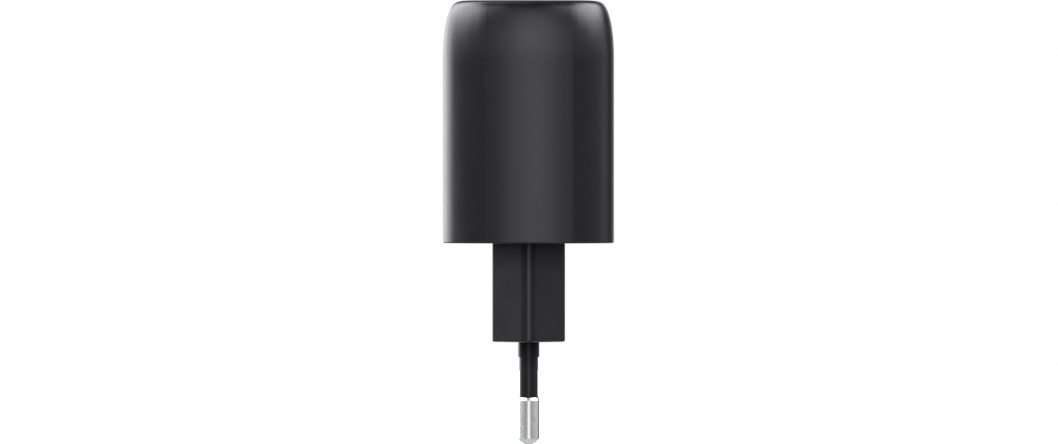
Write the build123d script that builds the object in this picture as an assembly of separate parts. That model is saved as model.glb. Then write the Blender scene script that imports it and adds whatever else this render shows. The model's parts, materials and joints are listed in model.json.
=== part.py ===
"""USB wall charger with a fixed two-pin Europlug, in millimetres.

Origin: middle of the plug's engagement face, between the two pins.
+Z runs up the body towards the USB ports, the pins point along -Z,
X is the thickness of the body and Y its width (the pins stand along Y).
"""
from build123d import *
import math
import os

# ---- casing ---------------------------------------------------------------
BODY_THICK = 31.4            # X
BODY_WIDE = 48.0             # Y
BODY_FOOT = 18.2             # height of the body's lower face
BODY_TOP = 62.8
CORNER_R = 9.6               # upright corners of the body
BOW_R = 40.0                 # the narrow sides bulge a little
FOOT_ROUND = 0.3             # small radius round the lower edge
WALL = 2.0
TOP_WALL = 2.2
LIP = 1.2                    # ring of the housing that hides the cover's edge
LIP_DEEP = 2.5
# shoulder curve: (inset from the side, depth below the top) of its control points
SHOULDER = [(0, 10.8), (0, 0.4), (2.6, 0.76), (1.2, 0), (5.6, 0)]
INNER_SHOULDER = [(0, 9.6), (0, 0.4), (2.2, 0.6), (1.2, 0), (4.9, 0)]
CORNER_X = BODY_THICK / 2 - CORNER_R
BOW_Y = BODY_WIDE / 2 - BOW_R
CORNER_Y = BOW_Y + math.sqrt((BOW_R - CORNER_R) ** 2 - CORNER_X ** 2)
BOW_HALF = math.degrees(math.asin(CORNER_X / (BOW_R - CORNER_R)))

# ---- lower cover and its plug block ----------------------------------------
COVER_GAP = 0.1
COVER_THICK = 2.4
COVER_TOP = BODY_FOOT + COVER_THICK
RIM_THICK = 1.2
RIM_TALL = 2.8
BLOCK_THICK = 13.4           # X
BLOCK_LONG = 35.3            # Y
BLOCK_NOSE = 2.0             # radius of the two sharp ends
BLOCK_CORNER = 0.9
BLOCK_EDGE = 0.4
BLOCK_WALL = 1.8
BLOCK_FLOOR = 3.0
SOCKET_R = 3.8               # raised ring moulded round each pin root
SOCKET_TOP = 4.6

# ---- pins -------------------------------------------------------------------
PIN_ROOT_Y = 9.3             # half of 18.6 at the engagement face
PIN_TIP_Y = 8.75             # half of 17.5 at the tips
PIN_LONG = 19.0
PIN_R = 2.0
PIN_BARE = 8.7               # bare metal at the tip
PIN_BEVEL = 0.5
TIP_R = 0.5
TIP_TALL = 1.2
TIP_BULGE = (1.32, 0.51)     # point on the rounded tip: radius, height above the end
SHANK_R = 1.3
SLEEVE_R = 1.73
COLLAR_R = 1.96
COLLAR_LONG = 2.8
ROOT_DEEP = 1.2              # how far the sleeve goes into the plug block
KNURL_R = 2.6
KNURL_SIDES = 16
KNURL_TOP = 3.2
HEAD_R = 1.7
HEAD_TALL = 0.7
PIN_TILT = math.degrees(math.atan2(PIN_ROOT_Y - PIN_TIP_Y, PIN_LONG))

# ---- mains wiring inside the plug block ---------------------------------------
TAG_LOW = 5.6
TAG_THICK = 0.5
TAG_TOP = TAG_LOW + TAG_THICK
TAG_HALF = 2.0
TAG_END = 11.6
FUSE_Y = -4.6
FUSE_LOW = 8.0
FUSE_LONG = 10.0
FUSE_R = 1.7
FUSE_BORE = 0.9
CAP_R = 1.95
CAP_LONG = 2.3
CAP_END = 0.3
LEAD_R = 0.4
LEAF_Y = 6.9
LEAF_TOP = 9.4
WIRE_R = 0.35
JACKET_R = 0.6
WIRE_Y = LEAF_Y - WIRE_R
WIRE_LOW = 7.0
WIRE_SIDE = -3.0             # the wire passes the fuse on this side
WIRE_HOLE_Y = -7.4

# ---- circuit boards -----------------------------------------------------------
MAIN_LOW = COVER_TOP + RIM_TALL
MAIN_TOP = MAIN_LOW + 1.6
BOARD_INSET = 2.3            # from the outline of the body
PORT_LOW = 47.0
PORT_TOP = 48.2
LEAD_OUT = 0.6               # how far a lead shows past the far side of its board
HOLE_GAP = 0.12
CARD_Y = 17.6                # upright board, near face
CARD_THICK = 1.2
CARD_HALF = 6.5
CARD_LOW = MAIN_TOP + 0.2
CARD_TOP = PORT_LOW - 0.2
TAB_X = 4.0
TAB_HALF = 1.2
FILM_Y = 16.95               # insulating card in front of it
FILM_THICK = 0.3
STOP_HALF = 1.5              # ribs of the housing that stop the port board
STOP_DEEP = 1.5
STOP_TOP = 59.5

# ---- ports ----------------------------------------------------------------------
PANEL_THICK = 0.8
PANEL_SINK = 0.2
PANEL_INSET = 6.2            # from the outline of the body
PANEL_GAP = 0.08
PANEL_TOP = BODY_TOP - PANEL_SINK
PANEL_LOW = PANEL_TOP - PANEL_THICK
MOUTH = PANEL_TOP - 0.3      # height of both shell mouths
SHEET = 0.3
PORT_GAP = 0.2
USB_A_Y = -7.0
USB_A_IN = (5.12, 12.5)      # X, Y
USB_A_BASE = 52.0
USB_A_TIP = 61.3
USB_A_TONGUE = (0.08, 1.92)  # X from, X to
USB_A_TONGUE_WIDE = 11.1
USB_A_PINS = (-3.5, -1.0, 1.0, 3.5)
USB_A_STRIP = (-0.05, 0.2)   # X from, X to
USB_A_STRIP_END = 60.6
USB_C_Y = 9.0
USB_C_IN = (2.56, 8.34)
USB_C_BASE = 55.7
USB_C_TIP = 61.5
USB_C_TONGUE = (0.7, 6.69)
USB_C_PITCH = 0.5
USB_C_COUNT = 12
USB_C_STRIP = (0.25, 0.37)   # X from, X to, on both faces of the tongue
USB_C_STRIP_END = 60.7

# ---- parts on the main board ------------------------------------------------------
CHOKE = (0.0, -17.6, 31.2)
CHOKE_R = 5.0
CHOKE_BORE = 2.8
CHOKE_DEEP = 3.2
CHOKE_WIRE = 0.3
CHOKE_GAP = 0.06
CHOKE_TURNS = 9
CHOKE_STEP = 12.5            # degrees from turn to turn
BULK_X = 5.4
BULK_Y = -9.8
BULK_R = 4.8
BULK_LOW = MAIN_TOP + 0.4
BULK_TALL = 19.0
BULK_WALL = 0.3
BUNG_TALL = 2.0
FILM_WRAP = 0.18
BULK_PITCH = 5.0
OUT_CAPS = [(-5.0, 13.6), (2.4, 13.6)]
OUT_R = 3.15
OUT_TALL = 9.0
OUT_BASE = 1.1
OUT_PITCH = 2.5
XCAP = (7.4, 12.4, -3.0, 8.0)
XCAP_TALL = 10.0
XCAP_LEADS = [(9.9, -1.0), (9.9, 6.0)]
YCAP = (8.6, 12.6, 30.4)
YCAP_R = 3.5
YCAP_THICK = 3.0
YCAP_PITCH = 5.0
THIN_LEAD = 0.3

# ---- transformer ---------------------------------------------------------------------
TX_X = -2.6
TX_Y = 2.5
CORE_LOW = 28.0
CORE_MID = 36.0
CORE_TOP = 44.0
CORE_HALF = 9.0              # half its length in X
CORE_DEEP = 6.0              # Y
CORE_LEG = 4.8
CORE_SIDE = 2.4
CORE_BACK = 2.6
TUBE_WALL = 0.6
FLANGE_LOW = 31.0
FLANGE_TOP = 41.0
FLANGE_THICK = 0.8
FLANGE_HALF = (6.4, 6.7)     # X, Y
RAIL_LOW = 26.2
RAIL_Y = 3.4
FOOT_HALF = 0.8
WINDING_HALF = (5.3, 5.9)
WRAP = 0.2
CORE_WRAP_HALF = 2.2
PIN_ROW = (-4.5, -1.5, 1.5, 4.5)
PIN_ROW_Y = 5.05
TX_PIN_R = 0.35
PAD_THICK = 1.0
PAD_HALF = (7.0, 7.0)        # Y, Z
SPREADER_THICK = 0.6
SPREADER_HALF = (7.0, 9.5)   # Y, Z

# ---- chips (underside of the main board unless said): x, y, size x, size y, height -----
BRIDGE = (0.0, -12.0, 4.8, 4.4, 1.5)
SWITCH = (-9.3, -6.5, 5.0, 6.0, 0.9)
OPTO = (-9.6, 3.0, 2.6, 4.4, 2.0)
SYNC = (5.2, 3.0, 4.0, 5.0, 1.5)
PD_CHIP = (0.0, 36.0, 5.0, 5.0, 0.9)   # x, z on the upright board
CHIP_LEG = 0.2
RESISTOR = (2.0, 1.25, 0.55)
RESISTORS = [(7.8, -9.6), (10.4, -9.0), (8.0, -13.4), (-8.0, -13.2), (-10.2, -0.9),
             (5.6, -1.4), (5.6, 8.2), (-4.4, 10.2), (-1.0, 10.2)]
CAPACITOR = (3.2, 1.6, 1.1)
CAPACITORS = [(8.6, -6.2), (9.4, -4.0), (-1.6, 2.4), (-1.6, 5.0), (0.0, 16.6), (-4.2, 16.6)]


# ---- helpers ---------------------------------------------------------------------------
def block(x0, x1, y0, y1, z0, z1):
    """Box between two corners."""
    middle = Pos((x0 + x1) / 2, (y0 + y1) / 2, (z0 + z1) / 2)
    return middle * Box(x1 - x0, y1 - y0, z1 - z0)


def post(x, y, z0, z1, radius):
    """Upright cylinder."""
    return Pos(x, y, (z0 + z1) / 2) * Cylinder(radius, z1 - z0)


def outline(inset):
    """Outline of the body, moved inwards: flat long sides, round corners, bowed ends."""
    half_x = BODY_THICK / 2 - inset
    half_y = BODY_WIDE / 2 - inset
    corner = CORNER_R - inset
    middle = math.radians((90 - BOW_HALF) / 2)
    join = math.radians(90 - BOW_HALF)
    join_x = CORNER_X + corner * math.cos(join)
    join_y = CORNER_Y + corner * math.sin(join)
    mid_x = CORNER_X + corner * math.cos(middle)
    mid_y = CORNER_Y + corner * math.sin(middle)
    edges = []
    for side in (-1, 1):
        edges.append(Line((side * half_x, -CORNER_Y), (side * half_x, CORNER_Y)))
        edges.append(ThreePointArc((-join_x, side * join_y), (0, side * half_y),
                                   (join_x, side * join_y)))
        for end in (-1, 1):
            edges.append(ThreePointArc((side * half_x, end * CORNER_Y),
                                       (side * mid_x, end * mid_y),
                                       (side * join_x, end * join_y)))
    return make_face(edges)


def inset_prism(inset, z0, z1):
    """Upright prism over the body's outline moved inwards."""
    return extrude(Pos(0, 0, z0) * outline(inset), z1 - z0)


def tile(x, y, size_x, size_y, z0, z1, corner):
    """Upright prism over a rounded rectangle."""
    outline = Pos(x, y, z0) * RectangleRounded(size_x, size_y, corner)
    return extrude(outline, z1 - z0)


def turned(points, x=0.0, y=0.0):
    """Solid of revolution about an upright axis from (radius, z) points."""
    section = make_face(Polyline(*[(r, 0, z) for r, z in points], close=True))
    return Pos(x, y, 0) * revolve(section, Axis.Z, 360)


def domed_section(reach, foot, top, shoulder, foot_round):
    """Half section from the axis to reach, its side curving over into a flat top."""
    curve = [(reach - inset, 0, top - depth) for inset, depth in shoulder]
    side_foot = (reach, 0, foot + foot_round)
    edges = [Line((0, 0, foot), (reach - foot_round, 0, foot))]
    if foot_round:
        cut = foot_round * (1 - math.sqrt(0.5))
        edges.append(ThreePointArc((reach - foot_round, 0, foot), (reach - cut, 0, foot + cut),
                                   side_foot))
    edges.append(Line(side_foot, curve[0]))
    edges.append(Bezier(*curve))
    edges.append(Line(curve[-1], (0, 0, top)))
    edges.append(Line((0, 0, top), (0, 0, foot)))
    return make_face(edges)


def domed(inset, foot, top, shoulder, foot_round=0.0):
    """Prism over the inset outline whose side curves over into a flat top."""
    half, corner, bow = [size - inset for size in (BODY_THICK / 2, CORNER_R, BOW_R)]
    shape = (foot, top, shoulder, foot_round)
    slab = extrude(Pos(0, CORNER_Y, 0) * domed_section(half, *shape), 2 * CORNER_Y, dir=(0, -1, 0))
    solid = slab + Rot(0, 0, 180) * slab
    turn = revolve(domed_section(corner, *shape), Axis.Z, 90 - BOW_HALF)
    corner_part = Pos(CORNER_X, CORNER_Y, 0) * turn
    wedge = revolve(domed_section(bow, *shape), Axis.Z, 2 * BOW_HALF)
    end_part = Pos(0, BOW_Y, 0) * Rot(0, 0, 90 - BOW_HALF) * wedge
    for part in (corner_part, mirror(corner_part, Plane.YZ), end_part):
        solid += part
        solid += mirror(part, Plane.XZ)
    return solid


def tilted(solid, side):
    """Stand a part made about the Z axis on the converging pin axis of one side."""
    return Pos(0, side * PIN_ROOT_Y, 0) * Rot(-side * PIN_TILT, 0, 0) * solid


# ---- casing ------------------------------------------------------------------------------
def usb_a_hole(z0, z1):
    gap = 2 * (SHEET + PORT_GAP)
    return tile(0, USB_A_Y, USB_A_IN[0] + gap, USB_A_IN[1] + gap, z0, z1, 0.6)


def usb_c_hole(z0, z1):
    gap = 2 * (SHEET + PORT_GAP)
    outline = SlotOverall(USB_C_IN[1] + gap, USB_C_IN[0] + gap, rotation=90)
    return extrude(Pos(0, USB_C_Y, z0) * outline, z1 - z0)


def make_housing():
    """Deep cup that is open below, with a sunk field for the port panel."""
    outside = domed(0, BODY_FOOT, BODY_TOP, SHOULDER, FOOT_ROUND)
    inside = domed(WALL, BODY_FOOT, BODY_TOP - TOP_WALL, INNER_SHOULDER)
    rebate = inset_prism(LIP, BODY_FOOT, BODY_FOOT + LIP_DEEP)
    field = inset_prism(PANEL_INSET, PANEL_LOW, BODY_TOP)
    cup = outside - inside - rebate - field
    reach = BODY_WIDE / 2 - WALL
    for side in (-1, 1):
        ends = sorted((side * (reach - STOP_DEEP), side * (reach + WALL / 8)))
        cup += block(-STOP_HALF, STOP_HALF, ends[0], ends[1], PORT_TOP + 0.2, STOP_TOP)
    low = BODY_TOP - TOP_WALL
    return cup - usb_a_hole(low, BODY_TOP) - usb_c_hole(low, BODY_TOP)


def make_port_panel():
    """Glossy insert that frames the two ports."""
    plate = inset_prism(PANEL_INSET + PANEL_GAP, PANEL_LOW, PANEL_TOP)
    plate = chamfer(plate.faces().sort_by(Axis.Z)[-1].outer_wire().edges(), 0.15)
    return plate - usb_a_hole(PANEL_LOW, PANEL_TOP) - usb_c_hole(PANEL_LOW, PANEL_TOP)


def block_outline():
    """Six-sided Europlug outline with 45 degree ends."""
    half = BLOCK_THICK / 2
    apex = BLOCK_LONG / 2 + BLOCK_NOSE * (math.sqrt(2) - 1)
    flat = apex - half
    corners = [(half, -flat), (half, flat), (0, apex), (-half, flat), (-half, -flat), (0, -apex)]
    outline = Polygon(*corners, align=None)
    noses = [v for v in outline.vertices() if abs(v.X) < half / 2]
    outline = fillet(noses, BLOCK_NOSE)
    shoulders = [v for v in outline.vertices() if abs(v.X) > half * 0.99]
    return fillet(shoulders, BLOCK_CORNER)


def block_bore():
    """Inside outline of the hollow plug block."""
    half = BLOCK_THICK / 2 - BLOCK_WALL
    apex = BLOCK_LONG / 2 + BLOCK_NOSE * (math.sqrt(2) - 1) - BLOCK_WALL * math.sqrt(2)
    flat = apex - half
    corners = [(half, -flat), (half, flat), (0, apex), (-half, flat), (-half, -flat), (0, -apex)]
    return Polygon(*corners, align=None)


def make_base_cover():
    """Welded-in lower plate, its locating rim and the hollow plug block."""
    plate = inset_prism(LIP + COVER_GAP, BODY_FOOT, COVER_TOP)
    plug = extrude(block_outline(), COVER_TOP)
    plug = fillet(plug.faces().sort_by(Axis.Z)[0].edges(), BLOCK_EDGE)
    cover = plate + plug
    rim = inset_prism(WALL + COVER_GAP, COVER_TOP, MAIN_LOW)
    cover += rim - inset_prism(WALL + COVER_GAP + RIM_THICK, COVER_TOP, MAIN_LOW)
    cover -= extrude(Pos(0, 0, BLOCK_FLOOR) * block_bore(), COVER_TOP)
    for side in (-1, 1):
        cover += post(0, side * PIN_ROOT_Y, BLOCK_FLOOR, SOCKET_TOP, SOCKET_R)
    for side in (-1, 1):
        cover -= make_pin(side)
        cover -= make_sleeve(side)
    return cover


# ---- pins and mains wiring ----------------------------------------------------------------
def make_pin(side):
    """Round nickel-plated pin with a thinner sleeved shank and a knurled root."""
    shoulder = PIN_BARE - PIN_LONG
    tip = -PIN_LONG
    bulge = (TIP_BULGE[0], 0, tip + TIP_BULGE[1])
    edges = [
        Line((0, 0, tip), (TIP_R, 0, tip)),
        ThreePointArc((TIP_R, 0, tip), bulge, (PIN_R, 0, tip + TIP_TALL)),
        Line((PIN_R, 0, tip + TIP_TALL), (PIN_R, 0, shoulder - PIN_BEVEL)),
        Line((PIN_R, 0, shoulder - PIN_BEVEL), (SLEEVE_R, 0, shoulder)),
        Line((SLEEVE_R, 0, shoulder), (SHANK_R, 0, shoulder)),
        Line((SHANK_R, 0, shoulder), (SHANK_R, 0, TAG_TOP)),
        Line((SHANK_R, 0, TAG_TOP), (HEAD_R, 0, TAG_TOP)),
        Line((HEAD_R, 0, TAG_TOP), (HEAD_R, 0, TAG_TOP + HEAD_TALL)),
        Line((HEAD_R, 0, TAG_TOP + HEAD_TALL), (0, 0, TAG_TOP + HEAD_TALL)),
        Line((0, 0, TAG_TOP + HEAD_TALL), (0, 0, tip)),
    ]
    pin = revolve(make_face(edges), Axis.Z, 360)
    knurl = Pos(0, 0, ROOT_DEEP) * RegularPolygon(KNURL_R, KNURL_SIDES)
    pin += extrude(knurl, KNURL_TOP - ROOT_DEEP)
    return tilted(pin, side)


def make_sleeve(side):
    """Insulating sleeve over the root half of a pin, thicker next to the plug block."""
    low = PIN_BARE - PIN_LONG
    sleeve = turned([(SHANK_R, low), (SLEEVE_R, low), (SLEEVE_R, -COLLAR_LONG),
                     (COLLAR_R, -COLLAR_LONG), (COLLAR_R, ROOT_DEEP), (SHANK_R, ROOT_DEEP)])
    return tilted(sleeve, side)


def make_fuse_tag():
    """Brass strip from the first pin to the lower lead of the fuse."""
    low = min(-TAG_END, FUSE_Y)
    strip = tile(0, (low + FUSE_Y + TAG_HALF) / 2, 2 * TAG_HALF, FUSE_Y + TAG_HALF - low,
                 TAG_LOW, TAG_TOP, TAG_HALF * 0.8)
    strip -= post(0, FUSE_Y, TAG_LOW, TAG_TOP, LEAD_R + HOLE_GAP)
    return strip - make_pin(-1)


def make_wire_tag():
    """Brass strip on the second pin with an upright leaf for the wire."""
    strip = block(-TAG_HALF, TAG_HALF, LEAF_Y, TAG_END, TAG_LOW, TAG_TOP)
    leaf = block(-TAG_HALF, TAG_HALF, LEAF_Y, LEAF_Y + TAG_THICK, TAG_TOP, LEAF_TOP)
    return strip + leaf - make_pin(1)


def make_fuse_tube():
    high = FUSE_LOW + FUSE_LONG - CAP_END
    return turned([(FUSE_BORE, FUSE_LOW + CAP_END), (FUSE_R, FUSE_LOW + CAP_END),
                   (FUSE_R, high), (FUSE_BORE, high)], 0, FUSE_Y)


def make_fuse_cap(end):
    """Crimped end cap with its lead; end -1 is the lower one."""
    cup = [(0, 0), (CAP_R, 0), (CAP_R, CAP_LONG), (FUSE_R, CAP_LONG), (FUSE_R, CAP_END),
           (0, CAP_END)]
    if end < 0:
        cap = turned([(r, FUSE_LOW + z) for r, z in cup], 0, FUSE_Y)
        return cap + post(0, FUSE_Y, TAG_LOW - LEAD_OUT, FUSE_LOW, LEAD_R)
    high = FUSE_LOW + FUSE_LONG
    cap = turned([(r, high - z) for r, z in cup], 0, FUSE_Y)
    return cap + post(0, FUSE_Y, high, MAIN_TOP + LEAD_OUT, LEAD_R)


def wire_path():
    """Run of the mains wire from the leaf, past the fuse, up to the main board."""
    return Spline((0, WIRE_Y - 0.3, LEAF_TOP + 0.4), (WIRE_SIDE, 1.5, 14.2),
                  (WIRE_SIDE, FUSE_Y - 0.6, 18.6), (0, WIRE_HOLE_Y, MAIN_LOW - 0.8),
                  tangents=[(0, 0, 1), (0, 0, 1)])


def make_wire_jacket():
    path = wire_path()
    ring = Circle(JACKET_R) - Circle(WIRE_R)
    return sweep(Plane(path @ 0, z_dir=path % 0) * ring, path=path)


def make_wire_core():
    path = wire_path()
    start = path @ 0
    end = path @ 1
    core = sweep(Plane(start, z_dir=path % 0) * Circle(WIRE_R), path=path)
    core += post(start.X, start.Y, WIRE_LOW, start.Z, WIRE_R)
    return core + post(end.X, end.Y, end.Z, MAIN_TOP + LEAD_OUT, WIRE_R)


# ---- boards ----------------------------------------------------------------------------------
def round_leads():
    """Every round lead that goes through the main board: (x, y, radius)."""
    leads = [(0, FUSE_Y, LEAD_R), (0, WIRE_HOLE_Y, WIRE_R)]
    leads += [(x, y, THIN_LEAD) for x, y in loose_leads()]
    leads += [(x, y, CHOKE_WIRE) for x, y in choke_leads()]
    leads += [(x, y, TX_PIN_R) for x, y in transformer_leads()]
    return leads


def loose_leads():
    """Leads of the capacitors: (x, y)."""
    leads = list(XCAP_LEADS)
    for side in (-1, 1):
        leads.append((YCAP[0], YCAP[1] + side * YCAP_PITCH / 2))
        for bulk in (-BULK_X, BULK_X):
            leads.append((bulk, BULK_Y + side * BULK_PITCH / 2))
        for x, y in OUT_CAPS:
            leads.append((x + side * OUT_PITCH / 2, y))
    return leads


def choke_leads():
    half = math.radians(CHOKE_STEP * (CHOKE_TURNS - 1) / 2)
    reach = (CHOKE_R + CHOKE_GAP + CHOKE_WIRE) * math.cos(half)
    face = CHOKE_DEEP / 2 + CHOKE_GAP + CHOKE_WIRE
    return [(sx * reach, CHOKE[1] + sy * face) for sx in (-1, 1) for sy in (-1, 1)]


def transformer_leads():
    return [(TX_X + x, TX_Y + side * PIN_ROW_Y) for x in PIN_ROW for side in (-1, 1)]


def card_slots(z0, z1):
    """Slots for the tabs of the upright board."""
    slots = None
    for x in (-TAB_X, TAB_X):
        slot = block(x - TAB_HALF - HOLE_GAP, x + TAB_HALF + HOLE_GAP, CARD_Y - HOLE_GAP,
                     CARD_Y + CARD_THICK + HOLE_GAP, z0, z1)
        slots = slot if slots is None else slots + slot
    return slots


def make_main_board():
    board = inset_prism(BOARD_INSET, MAIN_LOW, MAIN_TOP)
    for x, y, radius in round_leads():
        board -= post(x, y, MAIN_LOW, MAIN_TOP, radius + HOLE_GAP)
    return board - card_slots(MAIN_LOW, MAIN_TOP)


def make_port_board():
    board = inset_prism(BOARD_INSET, PORT_LOW, PORT_TOP)
    for y0, y1, half in port_legs():
        board -= block(-half - HOLE_GAP, half + HOLE_GAP, y0 - HOLE_GAP, y1 + HOLE_GAP,
                       PORT_LOW, PORT_TOP)
    middle = sum(USB_A_STRIP) / 2
    for y in USB_A_PINS:
        board -= post(middle, USB_A_Y + y, PORT_LOW, PORT_TOP, 0.45)
    return board - card_slots(PORT_LOW, PORT_TOP)


def make_control_board():
    """Upright board with tabs into the boards below and above it."""
    far = CARD_Y + CARD_THICK
    card = block(-CARD_HALF, CARD_HALF, CARD_Y, far, CARD_LOW, CARD_TOP)
    for x in (-TAB_X, TAB_X):
        card += block(x - TAB_HALF, x + TAB_HALF, CARD_Y, far, MAIN_LOW, PORT_TOP)
    return card


def make_insulation_card():
    return block(-CARD_HALF, CARD_HALF, FILM_Y, FILM_Y + FILM_THICK, CARD_LOW, CARD_TOP - 1.0)


# ---- ports ---------------------------------------------------------------------------------------
def port_legs():
    """Solder legs of both shells: (y from, y to, half width in X)."""
    legs = []
    for centre, inside, half in ((USB_A_Y, USB_A_IN[1], 0.8), (USB_C_Y, USB_C_IN[1], 0.5)):
        for side in (-1, 1):
            near = centre + side * inside / 2
            ends = sorted((near, near + side * SHEET))
            legs.append((ends[0], ends[1], half))
    return legs


def make_usb_a_shell():
    """Folded sheet-metal shell with four spring tongues."""
    size_x = USB_A_IN[0] + 2 * SHEET
    size_y = USB_A_IN[1] + 2 * SHEET
    shell = tile(0, USB_A_Y, size_x, size_y, PORT_TOP, MOUTH, 0.5)
    shell -= tile(0, USB_A_Y, USB_A_IN[0], USB_A_IN[1], PORT_TOP, MOUTH, 0.2)
    spring = (0.9, 54.1, 58.9)
    slit = 0.3
    for y in (USB_A_Y - 3.2, USB_A_Y + 3.2):
        shell -= block(-size_x, size_x, y - spring[0] - slit, y + spring[0] + slit,
                       spring[1], spring[2])
        for side in (-1, 1):
            root = side * (USB_A_IN[0] / 2 + SHEET / 2)
            bend = side * (USB_A_IN[0] / 2 - 0.25)
            bow = ThreePointArc((root, 0, spring[2] + 0.1), (bend, 0, 55.7),
                                (side * USB_A_IN[0] / 2, 0, spring[1] + 0.3))
            back = Pos(side * SHEET * 0.6, 0, 0) * bow
            leaf = make_face([bow, Line(bow @ 1, back @ 1), back, Line(back @ 0, bow @ 0)])
            shell += extrude(Pos(0, y + spring[0], 0) * leaf, 2 * spring[0], dir=(0, -1, 0))
    for y0, y1, half in port_legs()[:2]:
        shell += block(-half, half, y0, y1, PORT_LOW - LEAD_OUT, PORT_TOP + 1.0)
    return shell


def usb_a_strip(y):
    """One contact: a strip on the tongue and a narrower tail through the board."""
    x0, x1 = USB_A_STRIP
    strip = block(x0, x1, y - 0.5, y + 0.5, PORT_TOP + 0.6, USB_A_STRIP_END)
    return strip + block(x0, x1, y - 0.25, y + 0.25, PORT_LOW - LEAD_OUT, PORT_TOP + 0.6)


def make_usb_a_contacts():
    return Compound([usb_a_strip(USB_A_Y + y).solid() for y in USB_A_PINS])


def make_usb_a_insulator():
    """Moulded base that closes the shell and carries the contact tongue."""
    slack = 0.1
    base = tile(0, USB_A_Y, USB_A_IN[0] - slack, USB_A_IN[1] - slack, PORT_TOP, USB_A_BASE, 0.2)
    x0, x1 = USB_A_TONGUE
    half = USB_A_TONGUE_WIDE / 2
    tongue = block(x0, x1, USB_A_Y - half, USB_A_Y + half, USB_A_BASE, USB_A_TIP)
    lead_in = tongue.faces().sort_by(Axis.Z)[-1].edges()
    body = base + chamfer(lead_in, 0.25)
    for y in USB_A_PINS:
        body -= usb_a_strip(USB_A_Y + y)
    return body


def make_usb_c_shell():
    outer = SlotOverall(USB_C_IN[1] + 2 * SHEET, USB_C_IN[0] + 2 * SHEET, rotation=90)
    inner = SlotOverall(USB_C_IN[1], USB_C_IN[0], rotation=90)
    shell = extrude(Pos(0, USB_C_Y, PORT_TOP) * (outer - inner), MOUTH - PORT_TOP)
    for y0, y1, half in port_legs()[2:]:
        shell += block(-half, half, y0, y1, PORT_LOW - LEAD_OUT, PORT_TOP + 1.0)
    return shell


def usb_c_strips():
    """Twelve contacts on each face of the tongue."""
    width = USB_C_PITCH / 2
    strips = []
    for row in range(USB_C_COUNT):
        y = USB_C_Y + (row - (USB_C_COUNT - 1) / 2) * USB_C_PITCH
        for side in (-1, 1):
            x = sorted((side * USB_C_STRIP[0], side * USB_C_STRIP[1]))
            strips.append(block(x[0], x[1], y - width / 2, y + width / 2, PORT_TOP,
                                USB_C_STRIP_END))
    return strips


def make_usb_c_contacts():
    return Compound([strip.solid() for strip in usb_c_strips()])


def make_usb_c_insulator():
    slack = 0.1
    outline = SlotOverall(USB_C_IN[1] - slack, USB_C_IN[0] - slack, rotation=90)
    base = extrude(Pos(0, USB_C_Y, PORT_TOP) * outline, USB_C_BASE - PORT_TOP)
    half_x, half_y = USB_C_TONGUE[0] / 2, USB_C_TONGUE[1] / 2
    tongue = block(-half_x, half_x, USB_C_Y - half_y, USB_C_Y + half_y, USB_C_BASE, USB_C_TIP)
    corners = [e for e in tongue.edges().filter_by(Axis.X) if e.center().Z > USB_C_BASE + 1]
    body = base + fillet(corners, 0.5)
    return body - usb_c_strips()


# ---- choke -------------------------------------------------------------------------------------------
def make_choke_core():
    """Ferrite ring standing on edge."""
    ring = Cylinder(CHOKE_R, CHOKE_DEEP) - Cylinder(CHOKE_BORE, CHOKE_DEEP)
    ring = chamfer(ring.edges(), 0.2)
    return Pos(*CHOKE) * Rot(90, 0, 0) * ring


def choke_turn():
    """One turn of wire round the ring's section, at the +X side of a ring about Z."""
    reach = CHOKE_GAP + CHOKE_WIRE
    size = (CHOKE_R - CHOKE_BORE + 2 * reach, CHOKE_DEEP + 2 * reach)
    loop = Plane.XZ * RectangleRounded(size[0], size[1], 0.45)
    path = loop.wire()
    start = path @ 0
    wire = sweep(Plane(start, z_dir=path % 0) * Circle(CHOKE_WIRE), path=path)
    return Pos((CHOKE_R + CHOKE_BORE) / 2, 0, 0) * wire


def make_choke_winding(side):
    """Turns of one winding and its two ends going down into the board."""
    first = -CHOKE_STEP * (CHOKE_TURNS - 1) / 2
    turn = choke_turn()
    coil = None
    for n in range(CHOKE_TURNS):
        placed = Rot(0, 0, first + n * CHOKE_STEP) * turn
        coil = placed if coil is None else coil + placed
    if side < 0:
        coil = Rot(0, 0, 180) * coil
    coil = Pos(*CHOKE) * Rot(90, 0, 0) * coil
    joint = CHOKE[2] - (CHOKE_R + CHOKE_GAP) * math.sin(math.radians(-first))
    for x, y in choke_leads():
        if x * side > 0:
            coil += post(x, y, MAIN_LOW - LEAD_OUT, joint, CHOKE_WIRE)
    return coil


# ---- capacitors ------------------------------------------------------------------------------------------
def make_bulk_can(x):
    """Aluminium can, open below, with the groove that grips the bung."""
    low, high = BULK_LOW, BULK_LOW + BULK_TALL
    r, wall = BULK_R, BULK_WALL
    neck = 0.35
    groove = low + BUNG_TALL / 2
    can = turned([(r, low), (r, groove - neck), (r - neck, groove), (r, groove + neck), (r, high),
                  (0, high), (0, high - wall), (r - wall, high - wall),
                  (r - wall, groove + neck), (r - wall - neck, groove),
                  (r - wall, groove - neck), (r - wall, low)], x, BULK_Y)
    for spin in (0, 90):
        cut = Pos(x, BULK_Y, high) * Rot(0, 0, spin + 45) * Box(2 * r * 0.7, 0.3, 0.2)
        can -= cut
    return can


def make_bulk_bung(x):
    low = BULK_LOW
    r = BULK_R - BULK_WALL
    neck = 0.35
    groove = low + BUNG_TALL / 2
    bung = turned([(0, low), (r, low), (r, groove - neck), (r - neck, groove),
                   (r, groove + neck), (r, low + BUNG_TALL), (0, low + BUNG_TALL)], x, BULK_Y)
    for side in (-1, 1):
        y = BULK_Y + side * BULK_PITCH / 2
        bung -= post(x, y, low, low + BUNG_TALL, THIN_LEAD)
    return bung


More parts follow.
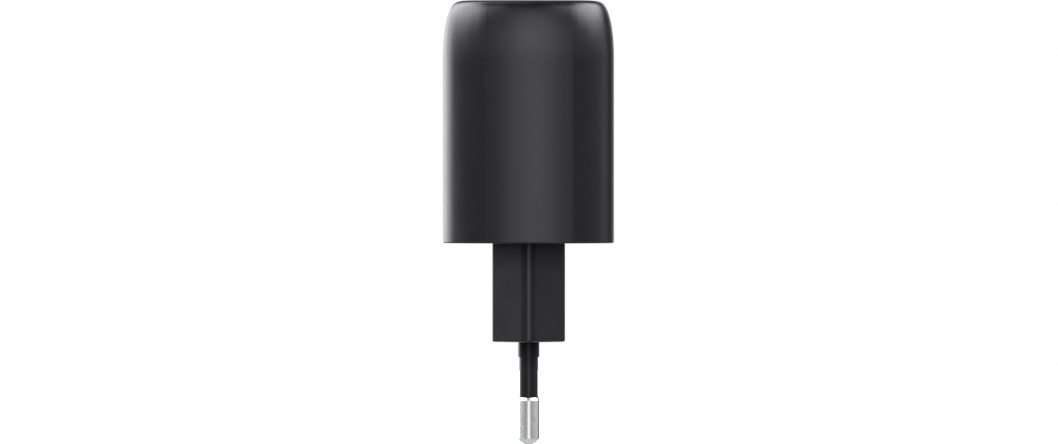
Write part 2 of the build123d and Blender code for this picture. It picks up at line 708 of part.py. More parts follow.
def make_bulk_roll(x):
    """Wound foil and paper inside the can."""
    low = BULK_LOW + BUNG_TALL + 0.6
    high = BULK_LOW + BULK_TALL - BULK_WALL - 0.8
    r = BULK_R - BULK_WALL - 0.2
    return turned([(0.6, low), (r, low), (r, high), (0.6, high)], x, BULK_Y)


def make_bulk_sleeve(x):
    """Shrunk film round the can, turned in over its top edge."""
    low, high = BULK_LOW, BULK_LOW + BULK_TALL
    inner = BULK_R + 0.02
    outer = inner + FILM_WRAP
    turn = BULK_R - 1.0
    return turned([(inner, low), (outer, low), (outer, high + FILM_WRAP),
                   (turn, high + FILM_WRAP), (turn, high), (inner, high)], x, BULK_Y)


def make_output_can(x, y):
    low = MAIN_TOP + 0.3 + OUT_BASE
    can = post(x, y, low, low + OUT_TALL - OUT_BASE, OUT_R)
    return fillet(can.edges().sort_by(Axis.Z)[-1], 0.5)


def make_output_base(x, y):
    low = MAIN_TOP + 0.3
    size = 2 * OUT_R
    base = tile(x, y, size, size, low, low + OUT_BASE, 1.2)
    for side in (-1, 1):
        base -= post(x + side * OUT_PITCH / 2, y, low, low + OUT_BASE, THIN_LEAD)
    return base


def make_x_capacitor():
    x0, x1, y0, y1 = XCAP
    low = MAIN_TOP + 0.2
    body = block(x0, x1, y0, y1, low, low + XCAP_TALL)
    return fillet([e for e in body.edges() if e.center().Z > low + 0.1], 0.5)


def make_y_capacitor():
    """Coated disc on edge."""
    x, y, z = YCAP
    disc = fillet(Cylinder(YCAP_R, YCAP_THICK).edges(), 1.2)
    return Pos(x, y, z) * Rot(0, 90, 0) * disc


def lead_tops():
    """Height at which each loose capacitor lead meets its part."""
    tops = {}
    for x, y in loose_leads():
        if (x, y) in XCAP_LEADS:
            tops[(x, y)] = MAIN_TOP + 0.2
        elif x == YCAP[0]:
            drop = math.sqrt(YCAP_R ** 2 - (YCAP_PITCH / 2) ** 2)
            tops[(x, y)] = YCAP[2] - drop
        elif abs(x) == BULK_X:
            tops[(x, y)] = BULK_LOW + BUNG_TALL + 0.4
        else:
            tops[(x, y)] = MAIN_TOP + 0.3 + OUT_BASE
    return tops


def make_component_leads():
    leads = [post(x, y, MAIN_LOW - LEAD_OUT, top, THIN_LEAD) - make_y_capacitor()
             if x == YCAP[0] else post(x, y, MAIN_LOW - LEAD_OUT, top, THIN_LEAD)
             for (x, y), top in lead_tops().items()]
    return Compound([lead.solid() for lead in leads])


# ---- transformer -------------------------------------------------------------------------------------------
def make_core_half(end):
    """E-shaped ferrite half; end -1 is the lower one."""
    low, high = (CORE_LOW, CORE_MID) if end < 0 else (CORE_MID, CORE_TOP)
    back = (low, low + CORE_BACK) if end < 0 else (high - CORE_BACK, high)
    y0, y1 = TX_Y - CORE_DEEP / 2, TX_Y + CORE_DEEP / 2
    half = block(TX_X - CORE_HALF, TX_X + CORE_HALF, y0, y1, back[0], back[1])
    for x, wide in ((0, CORE_LEG), (-CORE_HALF + CORE_SIDE / 2, CORE_SIDE),
                    (CORE_HALF - CORE_SIDE / 2, CORE_SIDE)):
        half += block(TX_X + x - wide / 2, TX_X + x + wide / 2, y0, y1, low, high)
    return half


def tube_half(grow):
    """Half sizes of the winding tube, grown outwards."""
    return CORE_LEG / 2 + 0.1 + grow, CORE_DEEP / 2 + 0.1 + grow


def make_bobbin():
    """Winding tube with two flanges and two pin rails on feet."""
    tube_x, tube_y = tube_half(TUBE_WALL)
    bore_x, bore_y = tube_half(0)
    size = (2 * FLANGE_HALF[0], 2 * FLANGE_HALF[1])
    body = tile(TX_X, TX_Y, 2 * tube_x, 2 * tube_y, FLANGE_LOW, FLANGE_TOP, 0.6)
    for low in (FLANGE_LOW, FLANGE_TOP - FLANGE_THICK):
        body += tile(TX_X, TX_Y, size[0], size[1], low, low + FLANGE_THICK, 0.6)
    for side in (-1, 1):
        near = TX_Y + side * RAIL_Y
        far = TX_Y + side * FLANGE_HALF[1]
        y0, y1 = sorted((near, far))
        x0, x1 = TX_X - FLANGE_HALF[0], TX_X + FLANGE_HALF[0]
        body += block(x0, x1, y0, y1, RAIL_LOW, FLANGE_LOW)
        for x in (x0 + FOOT_HALF, x1 - FOOT_HALF):
            body += block(x - FOOT_HALF, x + FOOT_HALF, y0, y1, MAIN_TOP, RAIL_LOW)
    body -= block(TX_X - bore_x, TX_X + bore_x, TX_Y - bore_y, TX_Y + bore_y,
                  FLANGE_LOW, FLANGE_TOP)
    for x, y in transformer_leads():
        body -= post(x, y, MAIN_TOP, FLANGE_LOW - 1.0, TX_PIN_R)
    return body


def layer(inner, outer, corner, z0, z1):
    """Rounded rectangular layer wound on the tube."""
    solid = tile(TX_X, TX_Y, 2 * outer[0], 2 * outer[1], z0, z1, corner)
    return solid - tile(TX_X, TX_Y, 2 * inner[0], 2 * inner[1], z0, z1, 0.65)


def make_winding():
    low, high = FLANGE_LOW + FLANGE_THICK, FLANGE_TOP - FLANGE_THICK
    return layer(tube_half(TUBE_WALL + 0.02), WINDING_HALF, 2.0, low, high)


def make_winding_tape():
    low, high = FLANGE_LOW + FLANGE_THICK + 0.1, FLANGE_TOP - FLANGE_THICK - 0.1
    grown = [half + 0.02 for half in WINDING_HALF]
    outer = [half + WRAP for half in grown]
    band = tile(TX_X, TX_Y, 2 * outer[0], 2 * outer[1], low, high, 2.0 + WRAP)
    return band - tile(TX_X, TX_Y, 2 * grown[0], 2 * grown[1], low, high, 2.0)


def make_core_tape():
    """Tape that holds the two core halves together."""
    slack = 0.04
    inner = (2 * (CORE_HALF + slack), CORE_TOP - CORE_LOW + 2 * slack)
    outer = (inner[0] + 2 * WRAP, inner[1] + 2 * WRAP)
    frame = RectangleRounded(*outer, 0.3) - Rectangle(*inner)
    band = extrude(Plane.XZ * frame, CORE_WRAP_HALF, both=True)
    return Pos(TX_X, TX_Y, (CORE_LOW + CORE_TOP) / 2) * band


def make_transformer_pins():
    high = FLANGE_LOW - 1.0
    return Compound([post(x, y, MAIN_LOW - LEAD_OUT, high, TX_PIN_R).solid()
                     for x, y in transformer_leads()])


def spreader_face():
    """X of the transformer side that the heat path starts from."""
    return TX_X - CORE_HALF - 0.04 - WRAP


def make_thermal_pad():
    face = spreader_face()
    middle = (CORE_LOW + CORE_TOP) / 2
    return block(face - PAD_THICK, face, TX_Y - PAD_HALF[0], TX_Y + PAD_HALF[0],
                 middle - PAD_HALF[1], middle + PAD_HALF[1])


def make_heat_spreader():
    """Aluminium plate between the pad and the long wall."""
    face = spreader_face() - PAD_THICK
    middle = (CORE_LOW + CORE_TOP) / 2
    plate = block(face - SPREADER_THICK, face, TX_Y - SPREADER_HALF[0], TX_Y + SPREADER_HALF[0],
                  middle - SPREADER_HALF[1], middle + SPREADER_HALF[1])
    corners = plate.edges().filter_by(Axis.X)
    return fillet(corners, 2.0)


# ---- chips ---------------------------------------------------------------------------------------------------
def chip(spec):
    """Moulded body hanging under the main board."""
    x, y, size_x, size_y, tall = spec
    stand = 0.1
    top = MAIN_LOW - stand
    body = block(x - size_x / 2, x + size_x / 2, y - size_y / 2, y + size_y / 2, top - tall, top)
    return chamfer(body.faces().sort_by(Axis.Z)[0].edges(), 0.15)


def chip_legs(spec, count, along):
    """Bent legs on two sides of a chip; they stand along X or Y."""
    x, y, size_x, size_y, tall = spec
    legs = []
    long, across = (size_x, size_y) if along == "X" else (size_y, size_x)
    pitch = long / count
    middle = MAIN_LOW - 0.1 - tall / 2
    for n in range(count):
        shift = (n - (count - 1) / 2) * pitch
        for side in (-1, 1):
            near = side * across / 2
            mid = near + side * 0.4
            far = mid + side * 0.7
            flat = [(near, middle), (mid, middle), (mid, MAIN_LOW), (far, MAIN_LOW),
                    (far, MAIN_LOW - CHIP_LEG), (mid + side * CHIP_LEG, MAIN_LOW - CHIP_LEG),
                    (mid + side * CHIP_LEG, middle - CHIP_LEG), (near, middle - CHIP_LEG)]
            face = make_face(Polyline(*[(0, v, z) for v, z in flat], close=True))
            leg = extrude(face, 0.2, both=True, dir=(1, 0, 0))
            if along == "Y":
                leg = Rot(0, 0, 90) * leg
                legs.append(Pos(x, y + shift, 0) * leg)
            else:
                legs.append(Pos(x + shift, y, 0) * leg)
    return legs


def make_chip_legs():
    legs = chip_legs(BRIDGE, 2, "Y")
    legs += chip_legs(OPTO, 2, "X")
    legs += chip_legs(SYNC, 4, "Y")
    return Compound([leg.solid() for leg in legs])


def make_pd_controller():
    """Flat chip on the outer side of the upright board."""
    x, z, size_x, size_z, tall = PD_CHIP
    near = CARD_Y + CARD_THICK
    body = block(x - size_x / 2, x + size_x / 2, near, near + tall, z - size_z / 2, z + size_z / 2)
    return chamfer(body.faces().sort_by(Axis.Y)[-1].edges(), 0.15)


def small_parts(places, size):
    """Surface-mount parts on the underside of the main board."""
    parts = []
    for x, y in places:
        body = block(x - size[0] / 2, x + size[0] / 2, y - size[1] / 2, y + size[1] / 2,
                     MAIN_LOW - size[2], MAIN_LOW)
        parts.append(body.solid())
    return Compound(parts)


# ---- all parts ---------------------------------------------------------------------------------------------------
def all_parts():
    parts = {
        "housing": make_housing(),
        "port_panel": make_port_panel(),
        "base_cover": make_base_cover(),
        "pin_a": make_pin(-1),
        "pin_b": make_pin(1),
        "pin_a_sleeve": make_sleeve(-1),
        "pin_b_sleeve": make_sleeve(1),
        "fuse_tag": make_fuse_tag(),
        "wire_tag": make_wire_tag(),
        "fuse_tube": make_fuse_tube(),
        "fuse_cap_lower": make_fuse_cap(-1),
        "fuse_cap_upper": make_fuse_cap(1),
        "wire_core": make_wire_core(),
        "wire_jacket": make_wire_jacket(),
        "main_board": make_main_board(),
        "port_board": make_port_board(),
        "control_board": make_control_board(),
        "insulation_card": make_insulation_card(),
        "usb_a_shell": make_usb_a_shell(),
        "usb_a_contacts": make_usb_a_contacts(),
        "usb_a_insulator": make_usb_a_insulator(),
        "usb_c_shell": make_usb_c_shell(),
        "usb_c_contacts": make_usb_c_contacts(),
        "usb_c_insulator": make_usb_c_insulator(),
        "choke_core": make_choke_core(),
        "choke_winding_a": make_choke_winding(-1),
        "choke_winding_b": make_choke_winding(1),
        "x_capacitor": make_x_capacitor(),
        "y_capacitor": make_y_capacitor(),
        "component_leads": make_component_leads(),
        "transformer_core_lower": make_core_half(-1),
        "transformer_core_upper": make_core_half(1),
        "transformer_bobbin": make_bobbin(),
        "transformer_winding": make_winding(),
        "transformer_tape": make_winding_tape(),
        "transformer_core_tape": make_core_tape(),
        "transformer_pins": make_transformer_pins(),
        "thermal_pad": make_thermal_pad(),
        "heat_spreader": make_heat_spreader(),
        "bridge_rectifier": chip(BRIDGE),
        "power_switch": chip(SWITCH),
        "optocoupler": chip(OPTO),
        "sync_rectifier": chip(SYNC),
        "chip_legs": make_chip_legs(),
        "pd_controller": make_pd_controller(),
        "smd_resistors": small_parts(RESISTORS, RESISTOR),
        "smd_capacitors": small_parts(CAPACITORS, CAPACITOR),
    }
    for name, x in (("a", -BULK_X), ("b", BULK_X)):
        parts["bulk_capacitor_" + name + "_can"] = make_bulk_can(x)
        parts["bulk_capacitor_" + name + "_bung"] = make_bulk_bung(x)
        parts["bulk_capacitor_" + name + "_roll"] = make_bulk_roll(x)
        parts["bulk_capacitor_" + name + "_sleeve"] = make_bulk_sleeve(x)
    for name, (x, y) in zip("ab", OUT_CAPS):
        parts["output_capacitor_" + name + "_can"] = make_output_can(x, y)
        parts["output_capacitor_" + name + "_base"] = make_output_base(x, y)
    return parts


os.makedirs("parts", exist_ok=True)
for part_name, shape in all_parts().items():
    export_step(shape, "parts/" + part_name + ".step")
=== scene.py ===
"""Looks of the USB wall charger round its CAD frame. Metres, +Z up, camera on the -Y side."""
import json
import math

import bpy
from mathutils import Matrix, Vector


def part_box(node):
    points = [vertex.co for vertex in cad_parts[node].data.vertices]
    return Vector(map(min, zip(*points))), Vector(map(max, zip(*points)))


MM = 0.001
MIX_INPUTS, MIX_RESULT = (6, 7), 2     # the colour sockets of a Mix node

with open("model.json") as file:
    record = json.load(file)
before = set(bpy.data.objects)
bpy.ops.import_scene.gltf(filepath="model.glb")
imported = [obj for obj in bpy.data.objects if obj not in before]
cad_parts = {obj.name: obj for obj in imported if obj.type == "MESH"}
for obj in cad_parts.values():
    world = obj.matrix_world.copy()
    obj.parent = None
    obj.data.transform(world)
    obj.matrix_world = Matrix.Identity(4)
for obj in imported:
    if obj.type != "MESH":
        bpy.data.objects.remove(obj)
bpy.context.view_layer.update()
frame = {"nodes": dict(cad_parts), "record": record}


# ---- shader trees ----------------------------------------------------------------
class Nodes:
    """The shader tree of a material or a world, put together one node at a time."""

    def __init__(self, owner):
        owner.use_nodes = True
        self.tree = owner.node_tree

    def node(self, kind, **settings):
        made = self.tree.nodes.new(kind)
        for key, value in settings.items():
            setattr(made, key, value)
        return made

    def feed(self, socket, value):
        """Link an output to an input, or write a plain value into it."""
        if isinstance(value, bpy.types.NodeSocket):
            self.tree.links.new(value, socket)
        else:
            socket.default_value = value

    def math(self, operation, *values):
        made = self.node("ShaderNodeMath", operation=operation)
        for socket, value in zip(made.inputs, values):
            self.feed(socket, value)
        return made.outputs[0]

    def vector_math(self, operation, output, *values):
        made = self.node("ShaderNodeVectorMath", operation=operation)
        for socket, value in zip(made.inputs, values):
            self.feed(socket, value)
        return made.outputs[output]

    def remap(self, value, at_start, at_end, start=0.0, end=1.0):
        """Smooth change of level while value runs from start to end."""
        ramp = self.node("ShaderNodeMapRange", interpolation_type="SMOOTHSTEP")
        self.feed(ramp.inputs["Value"], value)
        ends = {"From Min": start, "From Max": end, "To Min": at_start, "To Max": at_end}
        for key, number in ends.items():
            ramp.inputs[key].default_value = number
        return ramp.outputs["Result"]

    def axes(self, vector):
        split = self.node("ShaderNodeSeparateXYZ")
        self.feed(split.inputs[0], vector)
        return split.outputs


class Paint(Nodes):
    """A material round one Principled shader; its patterns are laid in object coordinates."""

    def __init__(self, name):
        self.material = bpy.data.materials.new(name)
        super().__init__(self.material)
        self.shader = self.tree.nodes["Principled BSDF"]
        self.place = self.node("ShaderNodeTexCoord").outputs["Object"]

    def set(self, **values):
        """Feed inputs of the shader; an underscore in a name stands for a space."""
        for key, value in values.items():
            if isinstance(value, tuple) and len(value) == 3:
                value = (*value, 1.0)
            self.feed(self.shader.inputs[key.replace("_", " ")], value)

    def stretched(self, factors):
        """Object coordinates scaled by a different factor along each axis."""
        mapping = self.node("ShaderNodeMapping")
        self.feed(mapping.inputs["Vector"], self.place)
        mapping.inputs["Scale"].default_value = factors
        return mapping.outputs["Vector"]

    def noise(self, scale, detail=3.0, vector=None):
        texture = self.node("ShaderNodeTexNoise")
        self.feed(texture.inputs["Vector"], vector or self.place)
        texture.inputs["Scale"].default_value = scale
        texture.inputs["Detail"].default_value = detail
        return texture.outputs["Fac"]

    def waves(self, pitch, kind="BANDS", wobble=0.0):
        """Bands stacked along Z, or rings round it, that repeat every pitch metres."""
        texture = self.node("ShaderNodeTexWave", wave_type=kind)
        texture.bands_direction = "Z"
        texture.rings_direction = "Z"
        self.feed(texture.inputs["Vector"], self.place)
        texture.inputs["Scale"].default_value = math.pi / (10 * pitch)
        texture.inputs["Distortion"].default_value = wobble
        return texture.outputs["Fac"]

    def blend(self, factor, first, second):
        mix = self.node("ShaderNodeMix", data_type="RGBA")
        self.feed(mix.inputs["Factor"], factor)
        for index, value in zip(MIX_INPUTS, (first, second)):
            color = value if isinstance(value, bpy.types.NodeSocket) else (*value, 1.0)
            self.feed(mix.inputs[index], color)
        return mix.outputs[MIX_RESULT]

    def bump(self, height, depth, strength=1.0, under=None):
        """Relief of the given depth in metres, laid over the relief under it if there is one."""
        relief = self.node("ShaderNodeBump")
        self.feed(relief.inputs["Height"], height)
        relief.inputs["Distance"].default_value = depth
        relief.inputs["Strength"].default_value = strength
        if under is not None:
            self.feed(relief.inputs["Normal"], under)
        return relief.outputs["Normal"]

    def shaded(self, color, reach, power=1.4):
        """Painted shade: colour that fades to black where faces within reach hide the surroundings."""
        around = self.node("ShaderNodeAmbientOcclusion", samples=8)
        around.inputs["Distance"].default_value = reach
        open_share = self.math("POWER", around.outputs["AO"], power)
        return self.blend(open_share, (0.0, 0.0, 0.0), color)


# ---- finishes --------------------------------------------------------------------
MID_NOISE = (0.3, 0.7)           # most noise values lie between these
BLACK = (0.0032, 0.0029, 0.0046)
SHEEN = (0.995, 0.975, 1.07)     # tint of the reflections on the black mouldings
SHADE_REACH = 6 * MM             # how far a face above lays painted shade on those reflections
MOULDED_IOR = 1.5


def shade(color, factor):
    return tuple(min(1.0, channel * factor) for channel in color)


def surface(name, color, rough, metal=0.0, mottle=0.06, grain=1500.0, relief=0.01, spread=0.05):
    """Common finish: slight mottling, uneven roughness and a fine grain, relief in mm."""
    paint = Paint(name)
    cloud = paint.remap(paint.noise(90.0, detail=4.0), 0.0, 1.0, *MID_NOISE)
    paint.set(Base_Color=paint.blend(cloud, shade(color, 1 - mottle), shade(color, 1 + mottle)))
    haze = paint.noise(260.0, detail=5.0)
    paint.set(Roughness=paint.remap(haze, max(0.02, rough - spread), rough + spread, *MID_NOISE))
    paint.set(Metallic=metal, Normal=paint.bump(paint.noise(grain, detail=2.0), relief * MM))
    return paint


def simple(color, rough, **extra):
    return lambda name: surface(name, color, rough, **extra).material


def ceramic_chip(body):
    """Small surface-mount body with a speckled, slightly waxy face."""
    return simple(body, 0.42, mottle=0.18, grain=3800.0, relief=0.02)


def make_casing(name):
    """Satin black moulding with a very fine even grain."""
    paint = surface(name, BLACK, 0.25, mottle=0.10, grain=5200.0, relief=0.004, spread=0.02)
    # Painted shade: the reflections fade to black under faces above them, as under the body.
    paint.set(IOR=MOULDED_IOR, Specular_Tint=paint.shaded(SHEEN, SHADE_REACH))
    return paint.material


def make_sleeve(name):
    """The same moulding, a little duller."""
    paint = surface(name, BLACK, 0.30, mottle=0.10, grain=4200.0, relief=0.004, spread=0.02)
    paint.set(IOR=MOULDED_IOR, Specular_IOR_Level=0.42)
    # Painted shade: the reflections fade to black under faces above them, as under the block.
    paint.set(Specular_Tint=paint.shaded(SHEEN, SHADE_REACH))
    return paint.material


def make_panel(name):
    """Polished black insert, toned down so that the lamps above don't show in it as white."""
    color = (0.004, 0.004, 0.005)
    paint = surface(name, color, 0.16, mottle=0.05, grain=900.0, relief=0.003, spread=0.03)
    paint.set(IOR=MOULDED_IOR, Specular_Tint=(0.20, 0.20, 0.21))
    return paint.material


def make_nickel(name):
    """Plated pin: soft sheen, faint draw lines along the pin and turning marks round it."""
    paint = Paint(name)
    cloud = paint.noise(300.0, detail=4.0)
    paint.set(Base_Color=paint.blend(cloud, (0.73, 0.727, 0.738), (0.76, 0.757, 0.768)))
    paint.set(Roughness=paint.remap(paint.noise(700.0, detail=4.0), 0.26, 0.29, *MID_NOISE), Metallic=1.0)
    lines = paint.noise(1.0, detail=3.0, vector=paint.stretched((6000.0, 6000.0, 160.0)))
    rings = paint.noise(1.0, detail=2.0, vector=paint.stretched((300.0, 300.0, 9000.0)))
    drawn = paint.bump(lines, 0.0003 * MM)
    paint.set(Normal=paint.bump(rings, 0.0002 * MM, under=drawn))
    # A tangent that runs round the pin, turned a quarter, stretches the highlight along the pin.
    facing = paint.node("ShaderNodeNewGeometry").outputs["Normal"]
    round_pin = paint.vector_math("CROSS_PRODUCT", "Vector", facing, (0.0, 0.0, 1.0))
    paint.set(Anisotropic=0.6, Anisotropic_Rotation=0.25, Tangent=round_pin)
    return paint.material


def make_sheet_steel(name):
    """Rolled and plated sheet of the port shells."""
    paint = Paint(name)
    lines = paint.noise(1.0, detail=3.0, vector=paint.stretched((900.0, 900.0, 14000.0)))
    paint.set(Base_Color=paint.blend(lines, (0.50, 0.50, 0.51), (0.66, 0.66, 0.67)))
    paint.set(Roughness=paint.remap(lines, 0.20, 0.36), Metallic=1.0)
    paint.set(Normal=paint.bump(lines, 0.006 * MM))
    return paint.material


def make_board(name):
    """Solder mask over copper tracks: the tracks follow the edges of squarish cells."""
    paint = Paint(name)
    cells = paint.node("ShaderNodeTexVoronoi", feature="DISTANCE_TO_EDGE")
    paint.feed(cells.inputs["Vector"], paint.place)
    cells.inputs["Scale"].default_value = 420.0
    cells.inputs["Randomness"].default_value = 0.55
    track = paint.remap(cells.outputs["Distance"], 1.0, 0.0, 0.05, 0.10)
    weave = paint.noise(4000.0, detail=2.0)
    green = paint.blend(track, (0.012, 0.085, 0.045), (0.028, 0.15, 0.075))
    paint.set(Base_Color=green, Roughness=paint.remap(weave, 0.28, 0.42, *MID_NOISE))
    raised = paint.bump(track, 0.03 * MM)
    paint.set(Normal=paint.bump(weave, 0.006 * MM, under=raised), Coat_Weight=0.3)
    return paint.material


def make_winding(name):
    """Enamelled wire laid turn by turn."""
    paint = Paint(name)
    turns = paint.waves(0.35 * MM, wobble=0.4)
    # Painted shade and highlight: the colour runs dark between the turns and light on their crowns.
    paint.set(Base_Color=paint.blend(turns, (0.30, 0.10, 0.03), (0.72, 0.34, 0.14)))
    paint.set(Metallic=0.9, Roughness=paint.remap(paint.noise(900.0), 0.22, 0.38, *MID_NOISE))
    paint.set(Normal=paint.bump(turns, 0.12 * MM), Coat_Weight=0.6)
    return paint.material


def make_enamel(name):
    """Single enamelled wire."""
    paint = surface(name, (0.66, 0.28, 0.10), 0.26, metal=0.9, mottle=0.15, grain=2200.0)
    paint.set(Coat_Weight=0.7, Coat_Roughness=0.1)
    return paint.material


def make_tape(name):
    """Polyester tape with the edges of its layers showing."""
    paint = Paint(name)
    layers = paint.waves(1.4 * MM, wobble=1.2)
    wrinkle = paint.noise(600.0, detail=5.0)
    paint.set(Base_Color=paint.blend(wrinkle, (0.62, 0.40, 0.04), (0.86, 0.62, 0.10)))
    raised = paint.bump(layers, 0.03 * MM, 0.5)
    paint.set(Normal=paint.bump(wrinkle, 0.04 * MM, under=raised), Coat_Weight=0.4)
    paint.set(Roughness=paint.remap(wrinkle, 0.22, 0.40))
    return paint.material


def make_roll(name):
    """Wound foil and paper: fine rings on the end faces."""
    paint = Paint(name)
    rings = paint.waves(0.22 * MM, "RINGS", wobble=0.6)
    paint.set(Base_Color=paint.blend(rings, (0.42, 0.38, 0.30), (0.66, 0.62, 0.54)))
    paint.set(Roughness=paint.remap(paint.noise(800.0), 0.6, 0.85))
    paint.set(Normal=paint.bump(rings, 0.03 * MM))
    return paint.material


def make_can_film(name):
    """Shrunk film with a lighter stripe down the -Y side of each can."""
    paint = Paint(name)
    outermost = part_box("bulk_capacitor_a_sleeve")[0].y
    y = paint.axes(paint.place)["Y"]
    stripe = paint.remap(y, 1.0, 0.0, outermost + 0.2 * MM, outermost + 1.2 * MM)
    dull = paint.noise(700.0, detail=4.0)
    dark = paint.blend(dull, (0.010, 0.022, 0.070), (0.016, 0.034, 0.100))
    paint.set(Base_Color=paint.blend(stripe, dark, (0.55, 0.56, 0.58)))
    paint.set(Roughness=paint.remap(dull, 0.14, 0.28), Normal=paint.bump(dull, 0.02 * MM))
    return paint.material


def make_brushed(name):
    """Aluminium with fine parallel scratches."""
    paint = Paint(name)
    lines = paint.noise(1.0, detail=4.0, vector=paint.stretched((8000.0, 500.0, 12000.0)))
    paint.set(Base_Color=paint.blend(lines, (0.60, 0.61, 0.62), (0.80, 0.81, 0.82)))
    paint.set(Metallic=1.0, Roughness=paint.remap(lines, 0.24, 0.44))
    paint.set(Normal=paint.bump(lines, 0.01 * MM))
    return paint.material


FINISHES = {
    "casing": make_casing,
    "panel": make_panel,
    "pin_metal": make_nickel,
    "sleeve": make_sleeve,
    "tag_brass": simple((0.72, 0.50, 0.19), 0.32, metal=1.0, grain=2600.0),
    "copper": make_enamel,
    "tinned": simple((0.70, 0.71, 0.72), 0.34, metal=1.0, mottle=0.10, grain=3000.0),
    "shell_steel": make_sheet_steel,
    "contact_gold": simple((0.90, 0.64, 0.24), 0.18, metal=1.0, grain=3600.0, relief=0.004),
    "port_plastic": simple((0.014, 0.014, 0.015), 0.42, grain=3000.0, relief=0.008),
    "circuit_board": make_board,
    "insulating_card": simple((0.70, 0.67, 0.56), 0.62, mottle=0.10, grain=1800.0, relief=0.03),
    "fuse_ceramic": simple((0.80, 0.78, 0.71), 0.36, grain=1500.0),
    "wire_jacket": simple((0.03, 0.09, 0.34), 0.34, grain=1800.0),
    "ferrite": simple((0.040, 0.040, 0.043), 0.58, mottle=0.2, grain=3600.0, relief=0.04),
    "choke_green": simple((0.035, 0.16, 0.085), 0.34, mottle=0.12, grain=1400.0, relief=0.05),
    "bobbin_plastic": simple((0.022, 0.022, 0.024), 0.38, grain=2400.0),
    "winding_tape": make_tape,
    "film_capacitor": simple((0.74, 0.50, 0.05), 0.40, mottle=0.05, grain=2200.0, relief=0.02),
    "disc_capacitor": simple((0.04, 0.16, 0.44), 0.36, mottle=0.14, grain=1100.0, relief=0.05),
    "can_aluminium": make_brushed,
    "bung_rubber": simple((0.020, 0.020, 0.020), 0.78, mottle=0.2, grain=2400.0, relief=0.04),
    "foil_roll": make_roll,
    "can_sleeve": make_can_film,
    "thermal_pad": simple((0.30, 0.46, 0.56), 0.80, mottle=0.12, grain=2600.0, relief=0.05),
    "spreader_aluminium": make_brushed,
    "chip_epoxy": simple((0.020, 0.020, 0.021), 0.62, mottle=0.2, grain=4200.0, relief=0.03),
    "resistor_ceramic": ceramic_chip((0.022, 0.022, 0.024)),
    "chip_capacitor": ceramic_chip((0.36, 0.24, 0.13)),
}
CREASE = math.radians(24)        # edges sharper than this stay sharp


def dress_frame():
    """Every CAD node takes the finish of its material slot; curved faces are shaded smooth."""
    made = {slot: build(slot) for slot, build in FINISHES.items()}
    for row in frame["record"]["subparts"]:
        node = frame["nodes"][row["node"]]
        node.data.materials.clear()
        node.data.materials.append(made[row["material_slot"]])
        node.data.shade_smooth()
        node.data.set_sharp_from_angle(angle=CREASE)


# ---- studio ----------------------------------------------------------------------
WHITE = (1.0, 1.0, 1.0)
ZENITH_FADE = (5.0, 60.0)        # elevations between which the horizon's level turns to the zenith's
GROUND_FADE = (-38.0, -12.0)     # elevations between which the light from below dies away
LAMP_FADE = (0.4, 1.45)          # start and end of a lamp's soft edge, as shares of its reach


class Sky(Nodes):
    """World shader whose brightness is a sum of soft boxes and lamps placed by direction.

    Angles are in degrees. Azimuth 0 is the camera's side and grows towards +X.
    """

    def __init__(self, ambient, above, below):
        world = bpy.data.worlds.new("studio")
        super().__init__(world)
        bpy.context.scene.world = world
        x, y, z = self.axes(self.node("ShaderNodeTexCoord").outputs["Generated"])
        self.azimuth = self.math("DEGREES", self.math("ARCTAN2", x, self.math("MULTIPLY", y, -1.0)))
        self.elevation = self.math("DEGREES", self.math("ARCSINE", z))
        self.total = self.remap(self.elevation, ambient, above, *ZENITH_FADE)
        self.add(self.remap(self.elevation, below, 0.0, *GROUND_FADE))

    def add(self, level):
        self.total = self.math("ADD", self.total, level)

    def turn_from(self, azimuth):
        """Signed turn from the given azimuth, between -180 and 180."""
        return self.math("WRAP", self.math("SUBTRACT", self.azimuth, azimuth), 180.0, -180.0)

    def edge(self, value, at, soft, rising):
        """Soft step of the given width round one value, up or down."""
        levels = (0.0, 1.0) if rising else (1.0, 0.0)
        return self.remap(value, *levels, at - soft / 2, at + soft / 2)

    def box(self, azimuth, elevation, glow, soft):
        """Box between two azimuths and two elevations; soft is the width of its side, lower
        and upper edges."""
        side_soft, low_soft, high_soft = soft
        turn = self.math("ABSOLUTE", self.turn_from(sum(azimuth) / 2))
        across = self.edge(turn, (azimuth[1] - azimuth[0]) / 2, side_soft, rising=False)
        low = self.edge(self.elevation, elevation[0], low_soft, rising=True)
        high = self.edge(self.elevation, elevation[1], high_soft, rising=False)
        window = self.math("MULTIPLY", across, self.math("MULTIPLY", low, high))
        self.add(self.math("MULTIPLY", window, glow))

    def lamp(self, azimuth, elevation, reach, glow):
        """Soft oval lamp round one direction; reach is about where its level drops to half.

        Turns shrink towards the zenith by the square root of the elevation's cosine.
        """
        closing = self.math("SQRT", self.math("COSINE", self.math("RADIANS", self.elevation)))
        turn = self.math("MULTIPLY", self.turn_from(azimuth), closing)
        rise = self.math("SUBTRACT", self.elevation, elevation)
        wide = reach[0] * math.sqrt(math.cos(math.radians(elevation)))
        across = self.math("POWER", self.math("DIVIDE", turn, wide), 2.0)
        up = self.math("POWER", self.math("DIVIDE", rise, reach[1]), 2.0)
        distance = self.math("SQRT", self.math("ADD", across, up))
        self.add(self.math("MULTIPLY", self.remap(distance, 1.0, 0.0, *LAMP_FADE), glow))

    def finish(self):
        """White to the camera, the boxes and lamps to everything else."""
        seen = self.node("ShaderNodeLightPath").outputs["Is Camera Ray"]
        rest = self.math("MULTIPLY", self.total, self.math("SUBTRACT", 1.0, seen))
        back = self.tree.nodes["Background"]
        self.feed(back.inputs["Strength"], self.math("ADD", rest, seen))
        self.feed(back.inputs["Color"], (*WHITE, 1.0))


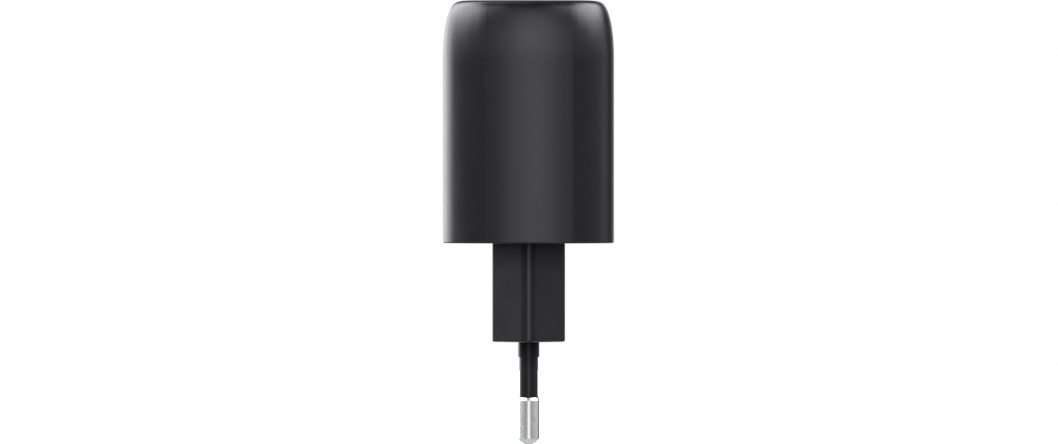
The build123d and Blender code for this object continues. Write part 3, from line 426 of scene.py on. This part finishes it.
def make_lights():
    sky = Sky(ambient=0.13, above=0.03, below=0.60)
    # Dim horizon with a brighter patch low on each side, and a tall strip behind the camera.
    sky.box((-120, 116), (1, 14), glow=0.66, soft=(24, 12, 30))
    sky.box((-126, -88), (-12, 8), glow=0.20, soft=(16, 18, 14))
    sky.box((96, 122), (-12, 8), glow=0.28, soft=(14, 18, 14))
    sky.box((-10, 15), (-10, 44), glow=1.75, soft=(23, 44, 48))
    # On each side a large lamp, a small fill in front of it and a low one behind the object.
    sky.lamp(-98, 41, reach=(58, 27), glow=7.0)
    sky.lamp(-43, 34, reach=(18, 20), glow=1.2)
    sky.lamp(-139, 6, reach=(26, 22), glow=2.8)
    sky.lamp(89, 42, reach=(52, 26), glow=7.0)
    sky.lamp(40, 30, reach=(16, 18), glow=0.6)
    sky.lamp(164, 4, reach=(12, 16), glow=0.6)
    sky.finish()


FLOOR_RADIUS = 0.7
FLOOR_GLOW = (0.62, 1.0)         # strength in the middle, and from FLOOR_EVEN outwards
FLOOR_EVEN = 0.5


def make_floor(height):
    """Large pale disc under the pin tips. It glows, more so away from the object, so that it
    blends into the white behind it."""
    bpy.ops.mesh.primitive_circle_add(vertices=128, radius=FLOOR_RADIUS, fill_type="NGON",
                                      location=(0, 0, height))
    floor = bpy.context.object
    floor.name = "floor"
    paint = Paint("floor")
    speck = paint.noise(40.0, detail=3.0)
    paint.set(Base_Color=paint.blend(speck, (0.62, 0.62, 0.62), (0.66, 0.66, 0.66)), Roughness=0.85)
    from_middle = paint.vector_math("LENGTH", "Value", paint.place)
    glow = paint.remap(from_middle, *FLOOR_GLOW, end=FLOOR_EVEN)
    paint.set(Emission_Color=WHITE, Emission_Strength=glow)
    paint.set(Normal=paint.bump(speck, 0.05 * MM))
    floor.data.materials.append(paint.material)
    floor.visible_glossy = False
    floor.visible_diffuse = False


CAMERA_PLACE = Vector((0.07 * MM, -2.4, 41.0 * MM))
AIM_HEIGHT = 21.96 * MM
SENSOR_WIDTH, LENS = 36.0, 441.8     # both in mm


def make_camera():
    """Long-lens camera on the -Y side, a little above the middle and looking slightly down."""
    data = bpy.data.cameras.new("camera")
    data.sensor_width = SENSOR_WIDTH
    data.lens = LENS
    data.clip_end = 20.0
    camera = bpy.data.objects.new("camera", data)
    bpy.context.scene.collection.objects.link(camera)
    camera.location = CAMERA_PLACE
    aim = Vector((CAMERA_PLACE.x, 0.0, AIM_HEIGHT))
    camera.rotation_mode = "QUATERNION"
    camera.rotation_quaternion = (CAMERA_PLACE - aim).to_track_quat("Z", "Y")
    bpy.context.scene.camera = camera


dress_frame()
make_floor(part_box("pin_a")[0].z)
make_lights()
make_camera()
bpy.context.scene.view_settings.view_transform = "Standard"
